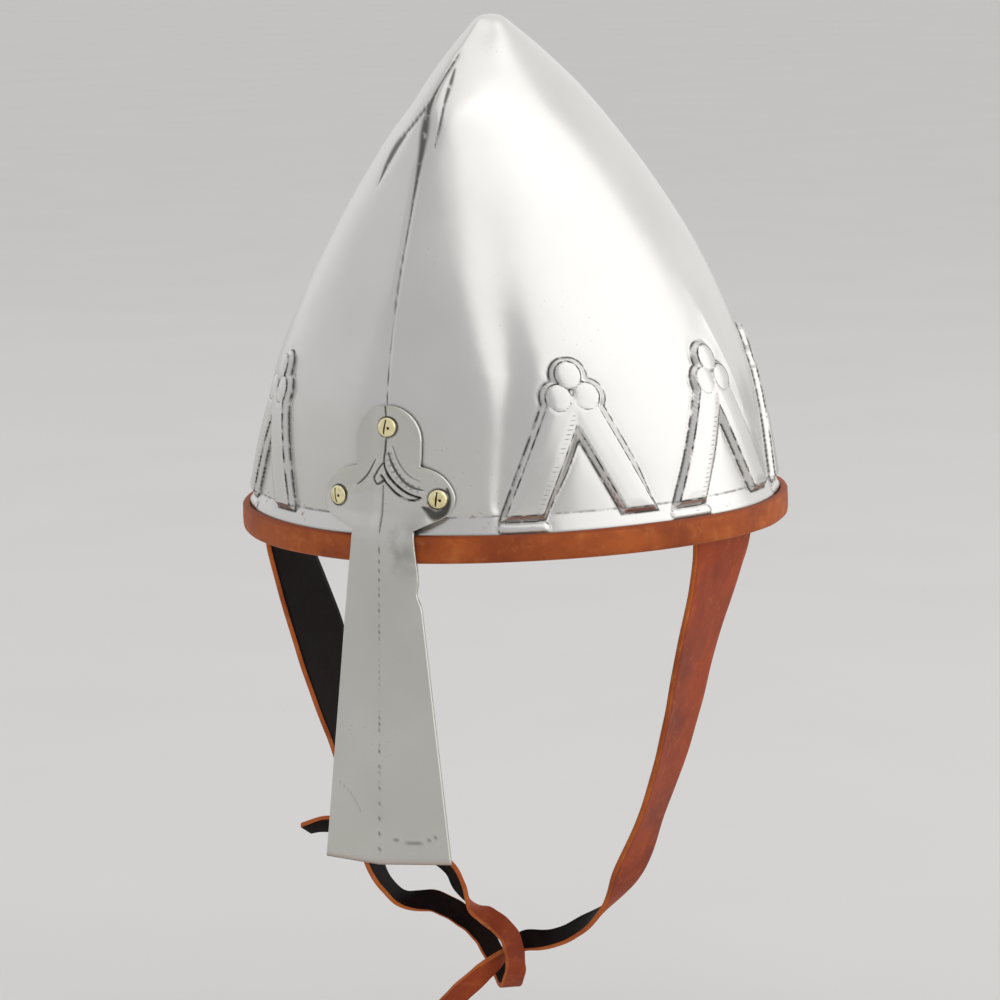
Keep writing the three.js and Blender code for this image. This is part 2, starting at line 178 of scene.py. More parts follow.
# Each chevron: place along the rim, then sideways places of its left foot, right foot and head,
# the half widths of its two legs, and how far its bevel is drawn out to the right. The eight were
# struck by hand, so no two are alike.
CHEVRONS = [
    (71.8, -21.9, 24.9, 4.2, 7.9, 7.1, 1.7),
    (143.1, -22.8, 23.6, 4.8, 7.3, 7.2, 1.4),
    (216, -22.8, 23.3, 1.0, 7.2, 7.0, 0.6),
    (289, -23.4, 22.6, 0.0, 7.0, 7.3, 0.2),
    (-78.4, -23.5, 20.8, 0.5, 7.0, 7.4, -0.8),
    (-150, -23.0, 23.6, -1.0, 7.3, 7.0, -0.6),
    (-221, -22.6, 23.2, 0.0, 7.0, 7.2, 0.4),
    (-292, -23.6, 22.8, 0.0, 7.2, 7.0, -0.3),
]
RELIEF = 2.4
BEVEL = 1.6
FOOT_Z = 5.0
HEAD_Z = 49
LOBES = [(-0.2, 56.6), (-5.4, 48.6), (5.6, 48.6)]
LOBE_RADIUS = 5.0
LIP = (10.2, 1.9, 1.9)
FAR = 99.0


def chevron_face(x, z, left, right, head, half_left, half_right):
    """Distance out from the edge of the raised face (negative on it), the distance along the
    nearer leg, and the distance in from the left leg's inner edge."""
    best = np.full_like(x, FAR)
    along_best = np.zeros_like(x)
    inner_best = np.full_like(x, FAR)
    for foot, half, side in ((left, half_left - BEVEL, 1), (right, half_right - BEVEL, -1)):
        lean = (head - side * 1.4 - foot) / (HEAD_Z - FOOT_Z)
        length = math.hypot(lean, 1)
        across = (x - foot - lean * (z - FOOT_Z)) / length
        far = np.maximum(np.abs(across) - half, np.maximum(FOOT_Z + 1.2 - z, z - HEAD_Z))
        nearer = far < best
        best = np.where(nearer, far, best)
        along_best = np.where(nearer, (z - FOOT_Z) * length, along_best)
        inner_best = np.where(nearer, half - across if side > 0 else FAR, inner_best)
    for lobe_x, lobe_z in LOBES:
        far = np.hypot(x - head - lobe_x, z - lobe_z) - LOBE_RADIUS
        inner_best = np.where(far < best, FAR, inner_best)
        best = np.minimum(best, far)
    return best, along_best, inner_best


def lobe_rings(x, z, head):
    """Distance from the nearest of the three punched rings in a chevron's head."""
    rings = [np.abs(np.hypot(x - head - u, z - v) - LOBE_RADIUS + 0.2) for u, v in LOBES]
    return np.minimum.reduce(rings)


def hand_work(angle, z):
    """The slow waviness that hammering leaves, in millimetres: a few long crossing waves."""
    point = shell_point(angle, z)
    total = np.zeros_like(z)
    draw = np.random.default_rng(7)
    for _ in range(14):
        direction = draw.normal(size=3)
        direction /= np.linalg.norm(direction)
        wave = draw.uniform(26, 70)
        total += np.sin(point @ direction * (2 * np.pi / wave) + draw.uniform(0, 6.3))
    return total * 0.028


# Strokes that a hammer or punch left in the upper shell, their creases darkened with painted shade:
# points as sideways place and height beside the front seam, each with the width there, and how deep
# the stroke is.
STROKES = [
    ([(0.5, 174, 0.2), (0.3, 170, 0.6), (-0.4, 163, 0.5), (-1.2, 155, 1.3), (-1.0, 147, 2.2),
      (-0.6, 138, 1.5), (-0.2, 126, 0.8), (0, 112, 0.5), (0, 90, 0.35), (0, 66, 0.3),
      (0, 46, 0.3)], 0.55),
    ([(-0.6, 158, 0.4), (-4.5, 152, 0.9), (-9, 146.5, 1.0), (-13, 141, 2.0), (-15.5, 134, 1.5),
      (-17, 127, 0.2)], 0.5),
    ([(1.6, 169, 0.3), (2.6, 162, 0.6), (3.2, 155, 0.4), (3.6, 148, 0.5), (3.4, 141, 0.2)], 0.25),
]


def path_points(path, steps):
    """A smooth line through a few points."""
    path = np.asarray(path, dtype=float)
    rows = np.vstack([2 * path[0] - path[1], path, 2 * path[-1] - path[-2]])
    return curve_rows(rows, np.linspace(1, len(path), steps))


def stroke_mark(x, z):
    """How dark the painted shade in the strokes is, and how deep they are, at places beside the seam."""
    dark = np.zeros_like(x)
    deep = np.zeros_like(x)
    for path, depth in STROKES:
        fine = path_points(path, 24 * len(path))
        far = np.hypot(x[..., None] - fine[:, 0], z[..., None] - fine[:, 1])
        width = fine[far.argmin(-1), 2]
        far = far.min(-1)
        dark = np.maximum(dark, smooth(1.25 - far / width))
        deep = np.maximum(deep, depth * np.exp(-(far / (1.4 * width + 0.5)) ** 2))
    return dark, deep


def shell_lift(angle, z):
    """How far the finished face stands off the plain one, with what the material needs to know."""
    edge = np.full_like(z, 9.0)
    foot_line = np.full_like(z, 9.0)
    along = np.zeros_like(z)
    inner = np.full_like(z, FAR)
    ring = np.full_like(z, 9.0)
    lift = np.zeros_like(z)
    for distance, left, right, head, half_left, half_right, drawn in CHEVRONS:
        x = beside_line(angle, z, distance)
        near = (np.abs(x) < 48) & (z < 78)
        if not near.any():
            continue
        form = (left, right, head, half_left, half_right)
        face, face_along, face_inner = chevron_face(x, z, *form)
        # The bevel's foot is the face's outline grown, and drawn out to one side.
        base = chevron_face(x - drawn * smooth((z - 6) / 20), z, *form)[0]
        base = np.minimum(face, base) - BEVEL
        rise = np.clip(-base / np.maximum(np.maximum(face, 0) - base, 1e-6), 0, 1)
        rise = rise * (base < 0)
        raised = RELIEF * (0.75 * rise + 0.25 * smooth(rise)) + 0.22 * smooth(-face / 4) * (face < 0)
        # A lip is turned down over the rim band below the left foot.
        half, middle, tall = LIP
        lip = np.hypot(np.maximum(np.abs(x - left) - half + tall, 0), z - middle) - tall
        raised = np.maximum(raised, 0.8 * np.sqrt(np.clip(-lip / tall, 0, 1)))
        base = np.minimum(base, np.where(z < FOOT_Z - 1.4, np.abs(lip) + 0.25, 9))
        lift = np.where(near, np.maximum(lift, raised), lift)
        take = near & (face < edge)
        edge = np.where(take, face, edge)
        along = np.where(take, face_along, along)
        inner = np.where(take, face_inner, inner)
        foot_line = np.where(near & (np.abs(base) < np.abs(foot_line)), base, foot_line)
        ring = np.where(near, np.minimum(ring, lobe_rings(x, z, head)), ring)
    # The sheet is drawn in a little round each chevron.
    lift = lift - 0.35 * np.exp(-np.clip(foot_line, 0, 9) / 2.0) * (foot_line > 0) * (z < 72)
    lift = lift - 0.22 * np.exp(-(ring / 0.45) ** 2)
    distance = rim_distance(angle)
    body = smooth((z - 8) / 20)
    # A soft keel along the front and back seams, sharper towards the peak.
    front = np.abs(beside_line(angle, z, 0))
    seam = np.minimum(front, np.abs(beside_line(angle, z, round_distance[-1])))
    sharp = 0.55 + 0.9 * smooth((z - 90) / 60)
    lift = lift + sharp * np.exp(-np.sqrt(seam * seam + 4.0) / 13) * smooth((APEX_Z - z) / 30)
    # The flute between the nasal and the first chevron, pinched to a notch at the rim.
    middle = np.interp(z, [6, 12, 34, 58, 100, 150], [42, 42.8, 49, 53.5, 53, 50])
    half = np.interp(z, [6, 12, 34, 58, 100, 150], [2.5, 3.5, 7, 9, 15, 20])
    depth = np.interp(z, [6, 9, 20, 60, 110, 150], [0.2, 1.3, 1.6, 1.6, 0.9, 0])
    lift = lift - depth * np.exp(-((distance - middle) / half) ** 2)
    # Fainter flutes of the same kind on the other flanks.
    for place, deep in ((-186, 0.7), (184, 0.6), (250, 0.6), (-256, 0.5)):
        width = np.interp(z, [6, 40, 130], [5, 9, 16])
        lift = lift - deep * body * smooth((130 - z) / 90) * np.exp(-((distance - place) / width) ** 2)
    # A crease that climbs from the second chevron towards the third.
    crease = np.interp(z, [8, 34, 49, 68, 90], [179, 168.5, 167, 161, 157])
    lift = lift + 0.9 * body * smooth((95 - z) / 30) * np.exp(-np.abs(distance - crease) / 4.5)
    # A shallow dent beside the front seam near the apex, and the strokes round it with their painted
    # shade.
    x = beside_line(angle, z, 0)
    dent = np.exp(-((x + 13) / 8) ** 2 - ((z - 152 - 0.35 * (x + 13)) / 14) ** 2)
    lift = lift - 1.1 * dent
    dark = np.zeros_like(z)
    near = (np.abs(x) < 24) & (z > 40)
    if near.any():
        stroke_shade, deep = stroke_mark(x[near], z[near])
        dark[near] = stroke_shade
        lift[near] -= deep
    lift = lift + hand_work(angle, z) * smooth((APEX_Z - z) / 25)
    return lift, edge, foot_line, along, inner, ring, dark


def ring_faces(counts):
    """Faces that join rings of points; a ring may have as many, half or twice as many points as
    the one before, and a ring of one is a pole."""
    faces = []
    starts = np.concatenate([[0], np.cumsum(counts)])
    for r in range(len(counts) - 1):
        (a, b), (p, q) = counts[r:r + 2], starts[r:r + 2]
        if a == 1:
            faces += [(p, q + k, q + (k + 1) % b) for k in range(b)]
        elif b == 1:
            faces += [(p + k, q, p + (k + 1) % a) for k in range(a)]
        elif a == b:
            faces += [(p + k, q + k, q + (k + 1) % b, p + (k + 1) % a) for k in range(a)]
        elif a > b:
            for k in range(b):
                i, j, m = p + 2 * k, p + 2 * k + 1, p + (2 * k + 2) % a
                faces += [(i, q + k, j), (j, q + k, q + (k + 1) % b), (j, q + (k + 1) % b, m)]
        else:
            for k in range(a):
                i, j, m = q + 2 * k, q + 2 * k + 1, q + (2 * k + 2) % b
                faces += [(p + k, i, j), (p + k, j, p + (k + 1) % a), (p + (k + 1) % a, j, m)]
    return faces


def new_piece(name, points, faces):
    """A mesh object from points in millimetres, with its faces turned outwards."""
    mesh = bpy.data.meshes.new(name)
    corners = [tuple(point) for point in np.asarray(points) * MM]
    mesh.from_pydata(corners, [], [tuple(map(int, face)) for face in faces])
    work = bmesh.new()
    work.from_mesh(mesh)
    bmesh.ops.recalc_face_normals(work, faces=work.faces)
    for face in work.faces:
        face.smooth = True
    work.to_mesh(mesh)
    work.free()
    piece = bpy.data.objects.new(name, mesh)
    bpy.context.scene.collection.objects.link(piece)
    return piece


def store(piece, name, values):
    """Keeps one number for each point of a piece, for its material to read."""
    layer = piece.data.attributes.new(name, "FLOAT", "POINT")
    layer.data.foreach_set("value", np.asarray(values, dtype=np.float32))


def shell_ring(z, count, inside=False):
    """One ring of the outer or the inner face, and what the material reads at its points."""
    angle = np.linspace(0, 2 * np.pi, count, endpoint=False)
    angle = (angle + np.pi) % (2 * np.pi) - np.pi
    height = np.full(count, z)
    lift, *facts = shell_lift(angle, height)
    if inside:
        lift = lift * smooth((z - SHELL_FOOT) / 8) - WALL
    points = shell_point(angle, height) + shell_normal(angle, height) * lift[:, None]
    return points, np.array(facts)


def shell_piece():
    """The whole shell as rings: down the outer face from the apex, and up the inner one."""
    fine, middle, coarse = 760, 380, 190
    upper = curve_rows(profile_rows, np.linspace(len(STATIONS), 4.3, 76))[1:, 0]
    upper = upper[upper > 69.2]
    lower = np.concatenate([
        np.arange(68.5, CREASE_Z, -0.82), [CREASE_Z], np.arange(5.7, -0.5, -0.8), [-4, SHELL_FOOT],
    ])
    inner = np.concatenate([[SHELL_FOOT], np.linspace(-2, 60, 16), np.linspace(66, 184, 26)])
    rings = [shell_ring(z, coarse if z > 160 else middle) for z in upper]
    rings += [shell_ring(z, fine) for z in lower]
    for z in inner:
        count = fine if z == SHELL_FOOT else middle if z < 0 else coarse
        rings.append(shell_ring(z, count, inside=True))
    pole_facts = np.array([[9.0], [9.0], [0.0], [FAR], [9.0], [0.0]])
    rings.insert(0, (np.array([[0, APEX_LEAN, APEX_Z]]), pole_facts))
    rings.append((np.array([[0, APEX_LEAN, APEX_Z - WALL]]), pole_facts))
    points = [ring for ring, _ in rings]
    facts = np.concatenate([ring_facts for _, ring_facts in rings], axis=1)
    counts = [len(ring) for ring in points]
    piece = new_piece("helmet_shell", np.concatenate(points), ring_faces(counts))
    for name, values in zip(("edge_mm", "foot_mm", "along_mm", "inner_mm", "ring_mm", "stroke_shade"), facts):
        store(piece, name, values)
    return piece


def linear(hex_colour):
    """An sRGB hex colour as linear RGBA."""
    parts = [int(hex_colour[k:k + 2], 16) / 255 for k in (1, 3, 5)]
    return (*((c / 12.92 if c <= 0.04045 else ((c + 0.055) / 1.055) ** 2.4) for c in parts), 1)


def add_node(tree, kind, inputs=None, **settings):
    """A node with its settings, and its inputs given as values or as the sockets that feed them."""
    node = tree.nodes.new("ShaderNode" + kind)
    for key, value in settings.items():
        setattr(node, key, value)
    for key, value in (inputs or {}).items():
        if isinstance(value, bpy.types.NodeSocket):
            tree.links.new(value, node.inputs[key])
        else:
            node.inputs[key].default_value = value
    return node


def new_material(name):
    """An empty material: its node tree, its principled shader and its place in object space."""
    material = bpy.data.materials.new(name)
    material.use_nodes = True
    tree = material.node_tree
    shader = tree.nodes["Principled BSDF"]
    place = add_node(tree, "TexCoord").outputs["Object"]
    return material, tree, shader, place


def line_mask(tree, value, middle, width):
    """1 on a line where a value passes a number, falling to 0 at a distance from it."""
    off = add_node(tree, "Math", {0: value, 1: middle}, operation="SUBTRACT").outputs[0]
    off = add_node(tree, "Math", {0: off}, operation="ABSOLUTE").outputs[0]
    return add_node(tree, "MapRange", {"Value": off, "From Max": width, "To Min": 1.0, "To Max": 0.0},
                    interpolation_type="SMOOTHSTEP").outputs[0]


def combine(tree, first, second, operation="MULTIPLY"):
    """One number from two, each a socket or a value."""
    return add_node(tree, "Math", {0: first, 1: second}, operation=operation).outputs[0]


def ramp(tree, value, low, high, top=1.0):
    """0 below one value, rising to the top at another."""
    limits = {"Value": value, "From Min": low, "From Max": high, "To Max": top}
    return add_node(tree, "MapRange", limits).outputs[0]


def read_number(tree, name):
    """The number that the mesh keeps under a name."""
    return add_node(tree, "Attribute", attribute_name=name).outputs["Fac"]


def tint_where(tree, mask, below, hex_colour):
    """A colour laid over another where a mask is high."""
    colours = {"Factor": mask, 6: below, 7: linear(hex_colour)}
    return add_node(tree, "Mix", colours, data_type="RGBA").outputs[2]


def buffed_steel(name, tint, deep, marks):
    """Mild steel sheet, hammered and buffed bright: a soft mirror with long waves and hair
    scratches, darker in its pits and in the lines its marks give, with painted shade in the corners
    where pieces meet."""
    material, tree, shader, place = new_material(name)
    cloud = add_node(tree, "TexNoise", {"Vector": place, "Scale": 28.0, "Detail": 4.0}).outputs["Fac"]
    patch = add_node(tree, "TexNoise", {"Vector": place, "Scale": 260.0, "Detail": 3.0}).outputs["Fac"]
    broken = ramp(tree, patch, 0.34, 0.56)
    dark, rust = marks(tree, place, patch, broken)
    # Pits: sparse dark specks about 0.4 mm across, where the cloud is high.
    cells = add_node(tree, "TexVoronoi", {"Vector": place, "Scale": 420.0}).outputs["Distance"]
    pits = combine(tree, ramp(tree, cells, 0.1, 0.05), ramp(tree, cloud, 0.6, 0.7, 0.7))
    dark = combine(tree, dark, pits, "MAXIMUM")
    # Painted shade: an ambient occlusion node darkens the colour in the corners where pieces meet.
    corner_shade = add_node(tree, "AmbientOcclusion", {"Distance": 2.2 * MM}, samples=6).outputs["AO"]
    dark = combine(tree, dark, ramp(tree, corner_shade, 0.72, 0.35, 0.85), "MAXIMUM")
    colour = tint_where(tree, cloud, linear(deep), tint)
    # Pits, scale and painted shade all take this dark colour.
    colour = tint_where(tree, dark, colour, "#2A2520")
    colour = tint_where(tree, rust, colour, "#9A6030")
    tree.links.new(colour, shader.inputs["Base Color"])
    metal = add_node(tree, "MapRange", {"Value": rust, "To Min": 1.0, "To Max": 0.3}).outputs[0]
    tree.links.new(metal, shader.inputs["Metallic"])
    rough = add_node(tree, "MapRange", {"Value": cloud, "To Min": 0.2, "To Max": 0.3}).outputs[0]
    rough = add_node(tree, "Mix", {"Factor": dark, 2: rough, 3: 0.6}).outputs[0]
    rough = add_node(tree, "Mix", {"Factor": rust, 2: rough, 3: 0.65}).outputs[0]
    tree.links.new(rough, shader.inputs["Roughness"])
    # Relief too fine for the mesh: planishing marks about 9 mm wide, grain, and the struck lines.
    planish = add_node(tree, "TexNoise", {"Vector": place, "Scale": 95.0, "Detail": 1.0}).outputs["Fac"]
    grain = add_node(tree, "TexNoise", {"Vector": place, "Scale": 900.0, "Detail": 3.0}).outputs["Fac"]
    high = combine(tree, planish, 0.2)
    high = combine(tree, high, combine(tree, grain, 0.03), "ADD")
    high = combine(tree, high, combine(tree, dark, 0.2), "SUBTRACT")
    bump = add_node(tree, "Bump", {"Height": high, "Strength": 1.0, "Distance": 0.3 * MM}).outputs[0]
    tree.links.new(bump, shader.inputs["Normal"])
    return material


def shell_marks(tree, place, patch, broken):
    """Painted shade in the lines round the chevrons and their rings, in the strokes and the bend above
    the rim; scale in the chevrons' ticks, a dark weld line with painted shade beside it, and rust
    freckles.
    """
    face = read_number(tree, "edge_mm")
    # Painted shade along the foot and the edge of each chevron's bevel.
    foot = line_mask(tree, read_number(tree, "foot_mm"), 0.15, 0.75)
    foot = combine(tree, foot, ramp(tree, patch, 0.3, 0.5, 0.9))
    brow = combine(tree, line_mask(tree, face, 0.1, 0.5), broken)
    lines = combine(tree, foot, brow, "MAXIMUM")
    # Painted shade in the punched rings in each chevron's head.
    ring = combine(tree, line_mask(tree, read_number(tree, "ring_mm"), 0.0, 0.45), broken)
    lines = combine(tree, lines, combine(tree, ring, 0.8), "MAXIMUM")
    # Ticks struck 1.9 mm apart across each left leg, just inside its inner edge.
    beat = combine(tree, read_number(tree, "along_mm"), 2 * math.pi / 1.9)
    beat = ramp(tree, combine(tree, beat, 0.0, "SINE"), 0.6, 0.95)
    zone = line_mask(tree, read_number(tree, "inner_mm"), 1.9, 1.5)
    ticks = combine(tree, combine(tree, beat, zone), broken)
    lines = combine(tree, lines, combine(tree, ticks, 0.55), "MAXIMUM")
    # The strokes are darkened as painted shade in their creases; along the front seam the dark line is
    # partly the weld itself.
    stroke_shade = combine(tree, read_number(tree, "stroke_shade"), ramp(tree, patch, 0.2, 0.42))
    lines = combine(tree, lines, combine(tree, stroke_shade, 0.8), "MAXIMUM")
    height = add_node(tree, "SeparateXYZ", {"Vector": place}).outputs["Z"]
    # Painted shade along the bend above the rim.
    bend = combine(tree, line_mask(tree, height, CREASE_Z * MM, 0.7 * MM), broken)
    lines = combine(tree, lines, combine(tree, bend, 0.6), "MAXIMUM")
    # Freckles of rust keep to the bend above the rim, off the raised feet.
    low = line_mask(tree, height, 5.0 * MM, 5.5 * MM)
    low = combine(tree, low, ramp(tree, face, 4.0, 6.0))
    speck = add_node(tree, "TexNoise", {"Vector": place, "Scale": 420.0, "Detail": 2.0}).outputs["Fac"]
    worn = add_node(tree, "TexNoise", {"Vector": place, "Scale": 55.0, "Detail": 1.0}).outputs["Fac"]
    rust = combine(tree, ramp(tree, speck, 0.6, 0.68), ramp(tree, worn, 0.5, 0.6))
    return lines, combine(tree, rust, low)


shell = shell_piece()
shell.data.materials.append(buffed_steel("buffed_sheet_steel", "#E2E0DC", "#D2D0CC", shell_marks))
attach(shell, "root")
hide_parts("shell")

# --- Nasal ----------------------------------------------------------------------------------------
# A bar of the same sheet, folded to a keel and flaring to a straight foot. Its trefoil plate is
# beaten to the shell and carries chased ribs that fork below the top rivet, one to the wearer's
# right and three to the left.
NASAL_THICK = 1.5
NASAL_FOOT = -122
NASAL_RIDGE = (-119.2, -128)
NASAL_KEEL = (1.6, 7.2)
NECK_Z = 2.4
NECK_HALF = 12.2
FOOT_HALF = 26
PLATE_TOP = 48.5
PLATE_LOBE = 13.4
PLATE_SHIFT = 0.9
WING_TRIM = 0.155


def bend_between(a, b, c, steps):
    """A curve from a to c drawn towards b, without its first point."""
    f = np.linspace(0, 1, steps + 1)[1:, None]
    return (1 - f) ** 2 * np.array(a) + 2 * f * (1 - f) * np.array(b) + f * f * np.array(c)


def nasal_outline():
    """Half width and height down the edge of the plate and bar."""
    turn = np.linspace(np.pi / 2, 0, 46)[2:]
    lobe = np.stack([PLATE_LOBE * np.cos(turn), PLATE_TOP - PLATE_LOBE + PLATE_LOBE * np.sin(turn)], 1)
    side = np.linspace((PLATE_LOBE, PLATE_TOP - PLATE_LOBE), (13.1, 25.8), 24)[1:]
    wing = bend_between((13.1, 25.8), (25.5, 23.5), (28.2, 14.6), 40)
    under = bend_between((28.2, 14.6), (29, 8), (21, 5.6), 26)
    neck = bend_between((21, 5.6), (16.8, 4.0), (NECK_HALF + 0.4, NECK_Z), 14)
    bar = np.linspace((NECK_HALF + 0.4, NECK_Z), (FOOT_HALF, NASAL_FOOT), 110)[1:]
    return np.concatenate([lobe, side, wing, under, neck, bar])


def plate_x(share, half, z):
    """Sideways place of a share of the half width; the plate sits a little to one side and its
    wing there is shorter."""
    trim = np.where((share > 0) & (z > NECK_Z), WING_TRIM * np.maximum(0, half - PLATE_LOBE), 0)
    return share * (half - trim) + PLATE_SHIFT * smooth((z - 18) / 12)


def nasal_front(x, half, z):
    """Y of the plain front face."""
    down = np.clip((NECK_Z - z) / (NECK_Z - NASAL_FOOT), 0, 1)
    keel = NASAL_KEEL[0] + (NASAL_KEEL[1] - NASAL_KEEL[0]) * down
    bar = NASAL_RIDGE[0] + (NASAL_RIDGE[1] - NASAL_RIDGE[0]) * down + keel * np.abs(x) / half
    level = np.maximum(z, CREASE_Z)
    stand = 2.2 + 2.6 * smooth((20 - z) / 20)
    plate = shell_point(angle_at(x, level), level)[..., 1] - stand - 0.8 * (1 - smooth(np.abs(x) / 6))
    blend = smooth((9 - z) / 10)
    return plate * (1 - blend) + bar * blend


# The rivets that hold it: where they pass the shell, sideways and up, and how each slot is turned.
RIVETS = {"top": (1.4, 40.3, 1.75), "right": (-20.2, 14, 1.45), "left": (19.4, 13.8, 1.7)}
RIVET_RING = 3.75


def rivet_seat(x, z):
    """Where a rivet passes the shell, the way it points, and how far out the nasal's face is."""
    x, z = np.array(float(x)), np.array(float(z))
    angle = angle_at(x, z)
    seat, normal = shell_point(angle, z), shell_normal(angle, z)
    stand = seat[1] - nasal_front(x, PLATE_LOBE if z > 30 else 2 * PLATE_LOBE, z)
    return seat, normal, float(stand)


# Lines chased into the plate: points as sideways place and height, each with the line's width,
# then how deep and how dark it is.
CHASED = [
    ([(0.6, 48, 0.35), (0.8, 46, 0.35), (1.0, 44, 0.3)], 0.2, 0.8),
    ([(1.0, 36.4, 0.35), (0.7, 33, 0.4), (0.4, 29.5, 0.4), (0.0, 27, 0.4)], 0.3, 0.9),
    ([(0.0, 27, 0.45), (0.9, 24.2, 0.5), (2.6, 21.2, 0.5), (5.4, 18.2, 0.5), (9.2, 15.8, 0.45),
      (13.6, 14.4, 0.4)], 0.35, 1.0),
    ([(-0.3, 20.9, 0.4), (1.8, 18.6, 0.5), (4.4, 15.9, 0.5), (8.0, 13.9, 0.45), (11.4, 13.4, 0.4),
      (13.8, 14.2, 0.4)], 0.3, 1.0),
    ([(1.9, 31, 0.3), (2.8, 27.4, 0.4), (4.6, 23.6, 0.4), (7.2, 20.4, 0.4), (10.4, 18.2, 0.4),
      (14.6, 17, 0.3)], 0.3, 0.8),
    ([(3.4, 33.4, 0.25), (5.0, 28.6, 0.35), (7.4, 24.6, 0.35), (10.2, 21.9, 0.3),
      (13.6, 20.4, 0.25)], 0.2, 0.55),
    ([(-3.6, 28.4, 0.2), (-4.6, 27.0, 0.3), (-7.2, 22.9, 0.4), (-10.2, 20.0, 0.4),
      (-12.4, 18.5, 0.25)], 0.25, 0.85),
    ([(-0.2, 27.2, 0.35), (-1.6, 25.8, 0.35), (-3.6, 23.2, 0.4), (-4.7, 21.1, 0.4), (-3.5, 19.1, 0.4),
      (-1.9, 19.6, 0.45), (-0.3, 20.9, 0.6), (-1.4, 22.4, 0.5)], 0.35, 0.9),
    ([(-0.7, 18.6, 0.35), (-0.7, 10, 0.4), (-0.5, 0, 0.35), (-0.4, -30, 0.35), (-0.3, -70, 0.35),
      (-0.2, -119, 0.35)], 0.15, 0.75),
    ([(14.6, 10.8, 0.5), (16.6, 9.6, 1.2), (19, 7.8, 1.7), (21.6, 8.6, 1.7), (23.4, 11.4, 1.1),
      (24, 14.6, 0.5), (23.2, 17.6, 0.4)], 0.4, 0.85),
    ([(4.6, -112.5, 0.25), (10, -113.8, 0.3), (16, -113.6, 0.3), (20.6, -111.6, 0.25)], 0.15, 0.5),
    ([(-9, -103, 0.15), (-13.5, -97, 0.2), (-19, -93.5, 0.15)], 0.1, 0.35),
]
# Ribs between the lines: path, half width, height.
RIBS = [
    (np.array([(0.9, 29.6), (1.8, 25.8), (3.7, 22.2), (6.4, 19.3), (9.9, 17), (14.2, 15.7)]), 1.5, 0.6),
    (np.array([(0.6, 22.6), (2.4, 19.6), (5.2, 16.9), (8.8, 14.8), (12.6, 14.1)]), 1.1, 0.6),
    (np.array([(2.7, 32), (4.0, 28), (6.1, 24), (8.8, 21.1), (12, 19.4)]), 1.1, 0.35),
    (np.array([(-2.6, 26.6), (-6.1, 22.2), (-9.4, 19.2), (-12.6, 17.2)]), 1.8, 0.16),
]


def nasal_relief(x, half, z):
    """How far the worked face stands proud, how dark its chased lines and ticks are, and the painted
    shade in the rings round the rivet heads.
    """
    lift = np.zeros_like(x)
    dark = np.zeros_like(x)
    for path, width, rise in RIBS:
        line = path_points(path, 60)
        far = np.hypot(x[..., None] - line[:, 0], z[..., None] - line[:, 1]).min(-1)
        lift = np.maximum(lift, rise * np.sqrt(np.clip(1 - (far / width) ** 2, 0, 1)))
    for path, depth, strength in CHASED:
        line = path_points(path, 90)
        far = np.hypot(x[..., None] - line[:, 0], z[..., None] - line[:, 1])
        width = line[far.argmin(-1), 2]
        far = far.min(-1)
        lift = lift - depth * np.exp(-(far / (width + 0.15)) ** 2)
        dark = np.maximum(dark, strength * smooth(1.5 - far / width))
    # Painted shade in a ring round each rivet head, where it meets the plate.
    for spot in RIVETS.values():
        seat, normal, stand = rivet_seat(*spot[:2])
        middle = seat + normal * stand
        far = np.abs(np.hypot(x - middle[0], z - middle[2]) - RIVET_RING)
        dark = np.maximum(dark, 0.9 * smooth(1.4 - far / 0.4))
    # The face rolls up a little inside its edge, and the edge is worn round.
    border = np.minimum(half - np.abs(x), z - NASAL_FOOT)
    lift = lift + 0.45 * np.exp(-np.clip(border, 0, 50) / 1.3)
    # The dished place round the rivet on the wearer's left.
    lift = lift - 0.9 * np.exp(-((x - 21.5) / 4.5) ** 2 - ((z - 9.5) / 3.5) ** 2)
    # Slow hollows along the bar.
    lift = lift + 0.16 * np.sin(z * 0.085 + 1.2) * np.sin(x * 0.16) * smooth((4 - z) / 12)
    # Ticks climb across the band above the upper rib.
    line = path_points(CHASED[4][0], 60)
    far = np.hypot(x[..., None] - line[:, 0], z[..., None] - line[:, 1])
    band = smooth(1.4 - far.min(-1) / 1.3)
    tick = 0.5 + 0.5 * np.sin(far.argmin(-1) * 0.95)
    dark = np.maximum(dark, 0.5 * band * smooth((tick - 0.6) / 0.3))
    return lift, dark


def nasal_piece():
    """The plate and bar as rings round their level sections, with eased edges."""
    across = np.linspace(-1, 1, 91)
    points, darks, counts = [], [], []
    ease = 0.4
    for half, z in nasal_outline():
        # A small nick in the bar's edge on the wearer's left.
        nick = 1.3 * math.exp(-((z + 21.5) / 3.0) ** 2)
        height = np.full_like(across, z)
        x = plate_x(across, half - ease, height)
        x = np.where(across > 0, x * (1 - nick / half), x)
        front = nasal_front(x, half if z < 30 else PLATE_LOBE, height)
        lift, dark = nasal_relief(x, half, height)
        front_face = np.stack([x, front - lift, height], 1)
        sides = []
        for end in (-1, 0):
            out = x[end] + math.copysign(ease, across[end])
            near, deep = front[end] - lift[end] + ease, front[end] + NASAL_THICK - ease
            sides.append(np.array([[out, near, z], [out, deep, z]]))
        back_face = np.stack([x, front + NASAL_THICK, height], 1)[::-3]
        ring = np.concatenate([front_face, sides[0], back_face, sides[1][::-1]])
        points.append(ring)
        darks.append(np.concatenate([dark, np.zeros(len(ring) - len(x))]))
        counts.append(len(ring))
    faces = ring_faces(counts)
    faces.append(tuple(range(counts[0])))
    faces.append(tuple(sum(counts[:-1]) + k for k in range(counts[-1])))
    piece = new_piece("nasal_bar", np.concatenate(points), faces)
    store(piece, "chased_and_shade", np.concatenate(darks))
    return piece


